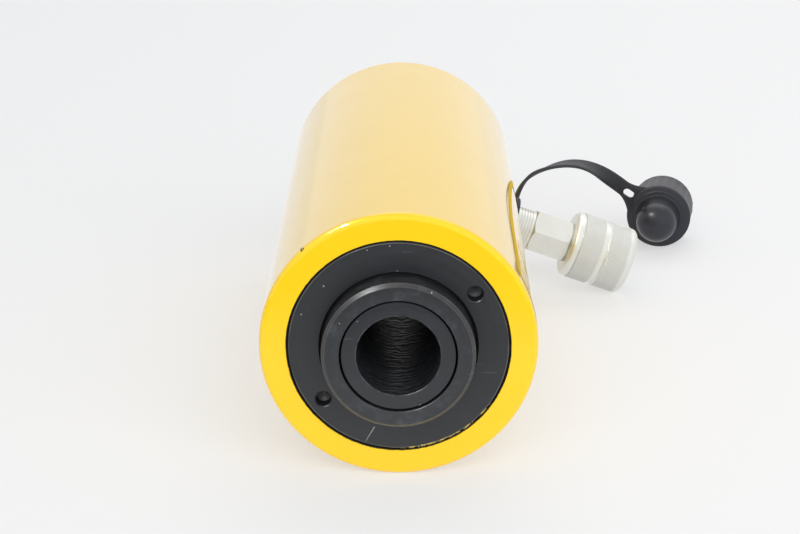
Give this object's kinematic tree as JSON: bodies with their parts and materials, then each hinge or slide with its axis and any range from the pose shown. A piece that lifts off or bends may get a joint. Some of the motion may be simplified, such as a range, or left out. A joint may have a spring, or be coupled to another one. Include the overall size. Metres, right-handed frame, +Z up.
{
  "type": "hollow plunger hydraulic cylinder",
  "caption": "Single-acting hollow plunger hydraulic cylinder with spring return, a screwed-in gland nut, a side quick coupler with a knurled collar and a tethered dust cap.",
  "frame": {"origin": "centre of the base face on the cylinder axis", "axes": "+Y out of the base along the cylinder axis, so the plunger comes out towards -Y; +Z up and the coupler towards +X as it lies on a table"},
  "size_m": [0.2226, 0.3293, 0.1142],
  "materials": {
    "yellow_paint": "glossy machine enamel",
    "black_oxide": "turned and black oxide treated",
    "plated_steel": "bright zinc plate",
    "spring_steel": "oiled spring wire",
    "bronze": "turned bearing bronze",
    "brass": "turned",
    "black_rubber": "moulded",
    "cap_rubber": "moulded, matt",
    "green_seal": "moulded polyurethane",
    "white_plastic": "turned"
  },
  "bodies": {
    "cylinder": {"cylinder_body": "yellow_paint", "centre_tube": "black_oxide", "tube_o_ring": "black_rubber", "gland_nut": "black_oxide", "gland_bush": "bronze", "wiper_ring": "black_rubber", "return_spring": "spring_steel", "coupler_body": "plated_steel", "collar_ring": "spring_steel", "valve_seat": "plated_steel", "valve_spring": "spring_steel", "nose_seal": "black_rubber"},
    "plunger_set": {"plunger": "black_oxide", "piston_seal": "green_seal", "piston_backup_ring": "white_plastic", "piston_guide_ring": "bronze", "inner_seal": "green_seal", "inner_backup_ring": "white_plastic", "inner_guide_ring": "bronze"},
    "collar": {"coupler_collar": "plated_steel"},
    "poppet": {"valve_poppet": "brass"},
    "cap": {"dust_cap": "cap_rubber", "cap_strap": "cap_rubber"}
  },
  "joints": [
    {"name": "plunger_slide", "type": "slide", "parent": "cylinder", "child": "plunger_set", "axis": [0, -1, 0], "range_m": [0, 0.1], "stiffness_N_per_m": 8000, "springref_m": -0.03, "deforming": ["return_spring"]},
    {"name": "collar_spin", "type": "hinge", "parent": "cylinder", "child": "collar", "pos_m": [0, -0.037, 0], "axis": [0.9434, 0, -0.3316], "continuous": true},
    {"name": "poppet_press", "type": "slide", "parent": "cylinder", "child": "poppet", "axis": [-0.9434, 0, 0.3316], "range_m": [0, 0.004], "stiffness_N_per_m": 1500, "springref_m": -0.003, "deforming": ["valve_spring"]},
    {"name": "cap_swing", "type": "hinge", "parent": "cylinder", "child": "cap", "pos_m": [0, -0.037, 0], "axis": [0.9434, 0, -0.3316], "continuous": true}
  ]
}
